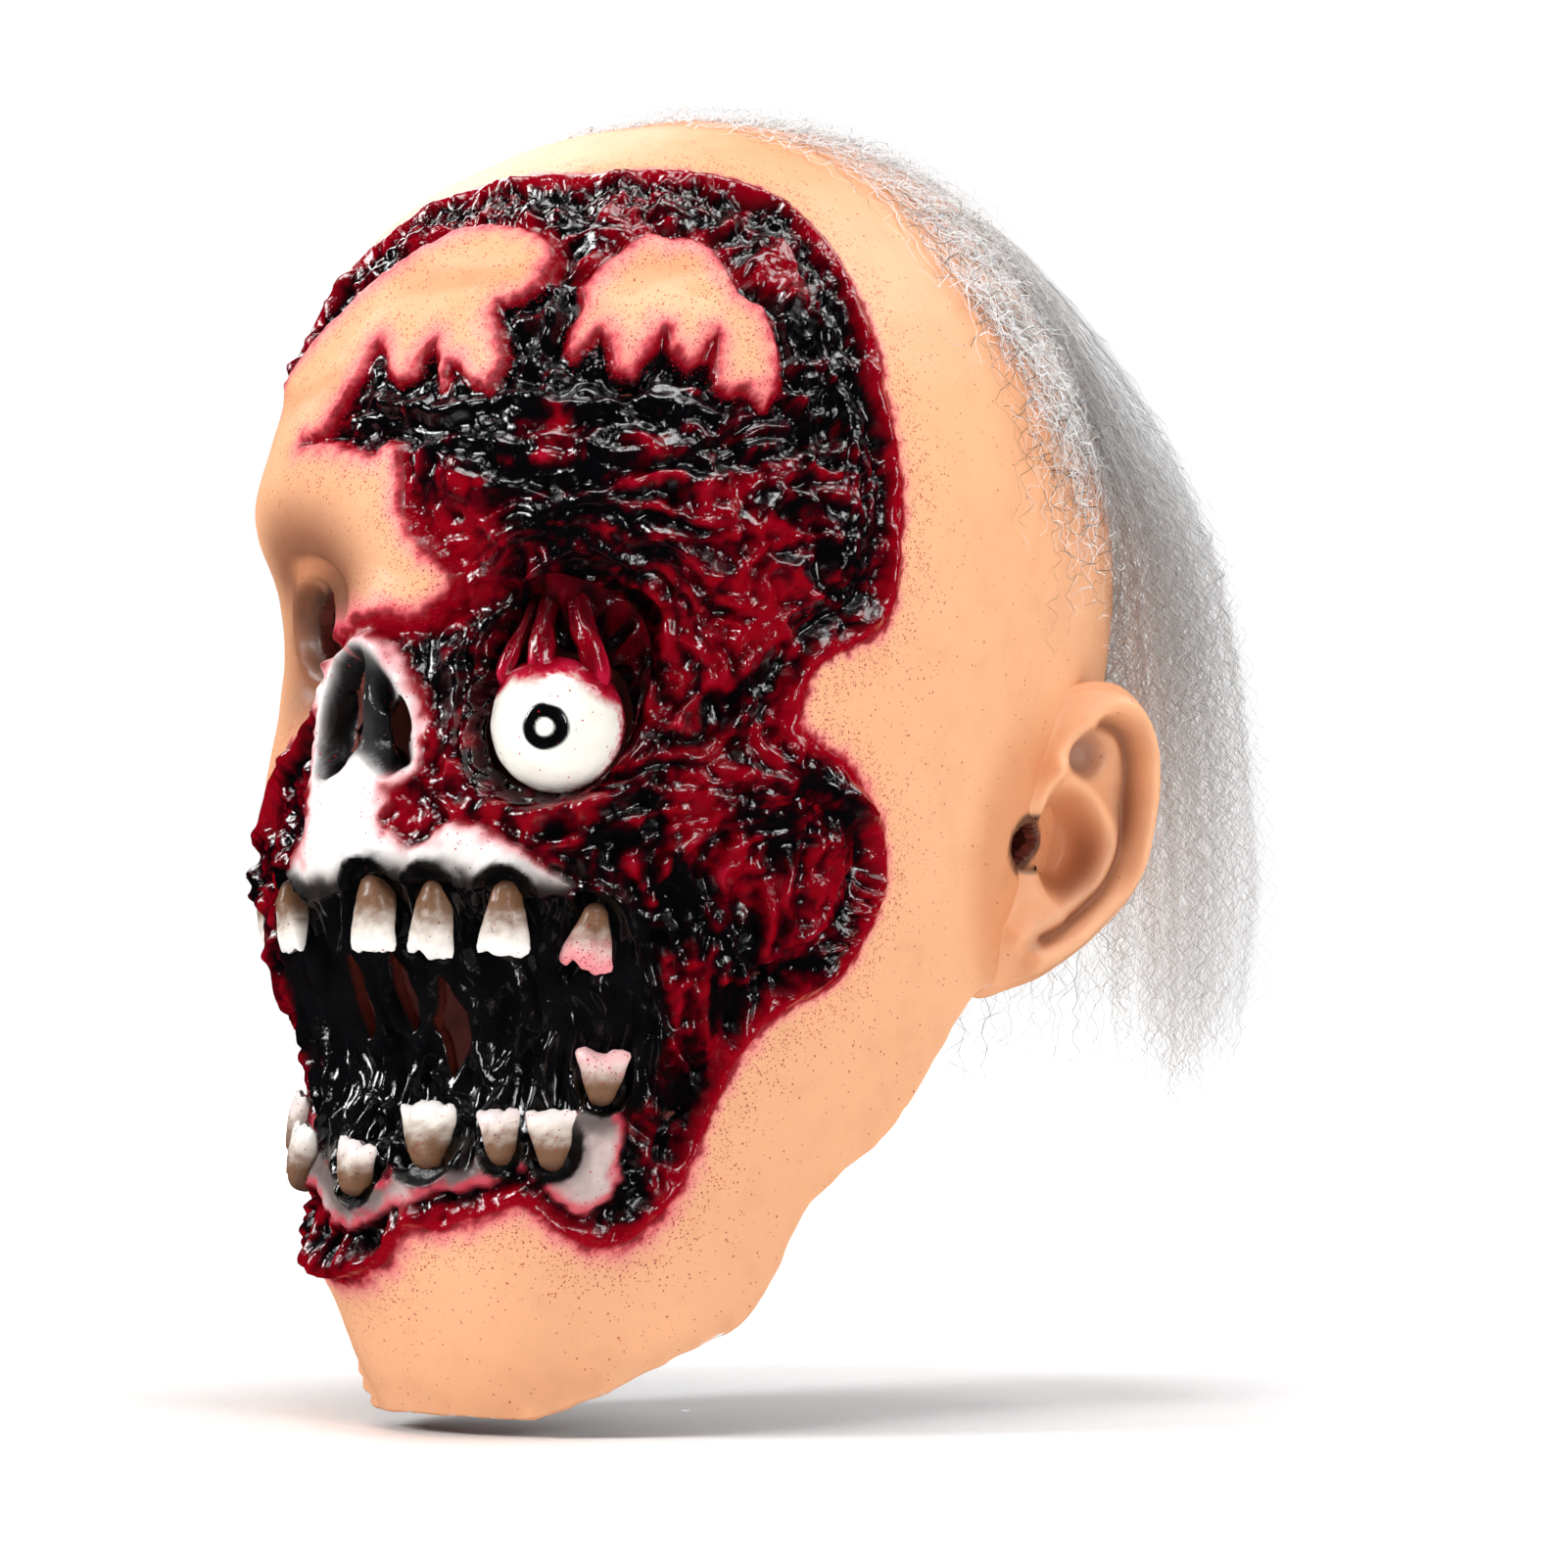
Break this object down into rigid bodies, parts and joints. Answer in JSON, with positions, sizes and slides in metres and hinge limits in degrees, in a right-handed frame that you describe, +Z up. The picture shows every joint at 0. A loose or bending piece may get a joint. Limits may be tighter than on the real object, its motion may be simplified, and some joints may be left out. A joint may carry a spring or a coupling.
{
  "type": "halloween mask",
  "caption": "Over-the-head latex zombie mask: flesh-tone skin, torn glossy wound, bared muzzle and jaw with loose teeth, a hanging eyeball, two ears and grey crepe hair.",
  "frame": {"origin": "middle of the wearer's head, level with the two ear holes", "axes": "+Z up through the crown, the face looks along -Y, +X towards the mask's own left ear; the head leaves the mask along -Z"},
  "size_m": [0.1786, 0.2336, 0.2875],
  "materials": {
    "skin": "matte flesh-tone latex with fine dark and red airbrush specks",
    "gore": "high-gloss crimson and black lacquer on rough built-up latex",
    "bone": "satin off-white latex, airbrushed grey in the hollows and pink at the edges",
    "mouth_web": "semi-gloss black latex with upright cords",
    "teeth": "satin ivory latex, brown towards the gum",
    "eyeball": "glossy cream with a painted black ring and a white dot",
    "hair": "grey and white crepe hair, dull"
  },
  "bodies": {
    "mask": {"head_skin": "skin", "forehead_flap": "skin", "ear_left": "skin", "ear_right": "skin", "wound_panel": "gore", "skull_muzzle": "bone", "jaw_bone": "bone", "mouth_web": "mouth_web", "tooth_upper_1": "teeth", "tooth_upper_2": "teeth", "tooth_upper_3": "teeth", "tooth_upper_4": "teeth", "tooth_upper_5": "teeth", "tooth_upper_6": "teeth", "tooth_lower_1": "teeth", "tooth_lower_2": "teeth", "tooth_lower_3": "teeth", "tooth_lower_4": "teeth", "tooth_lower_5": "teeth", "tooth_lower_6": "teeth", "tooth_lower_7": "teeth", "hair_cap": "hair"},
    "eyeball": {"eyeball": "eyeball", "eye_strand_inner": "gore", "eye_strand_middle": "gore", "eye_strand_outer": "gore"},
    "hair": {"hair_lock_left": "hair", "hair_lock_back": "hair", "hair_lock_right": "hair"}
  },
  "joints": [
    {"name": "eyeball_swing", "type": "hinge", "parent": "mask", "child": "eyeball", "pos_m": [0.03315, -0.07445, 0.0545], "axis": [-0.9135, -0.4067, 0], "range_deg": [0, 25]},
    {"name": "hair_swing", "type": "hinge", "parent": "mask", "child": "hair", "pos_m": [0, 0.108, 0.079], "axis": [1, 0, 0], "range_deg": [0, 25]}
  ]
}
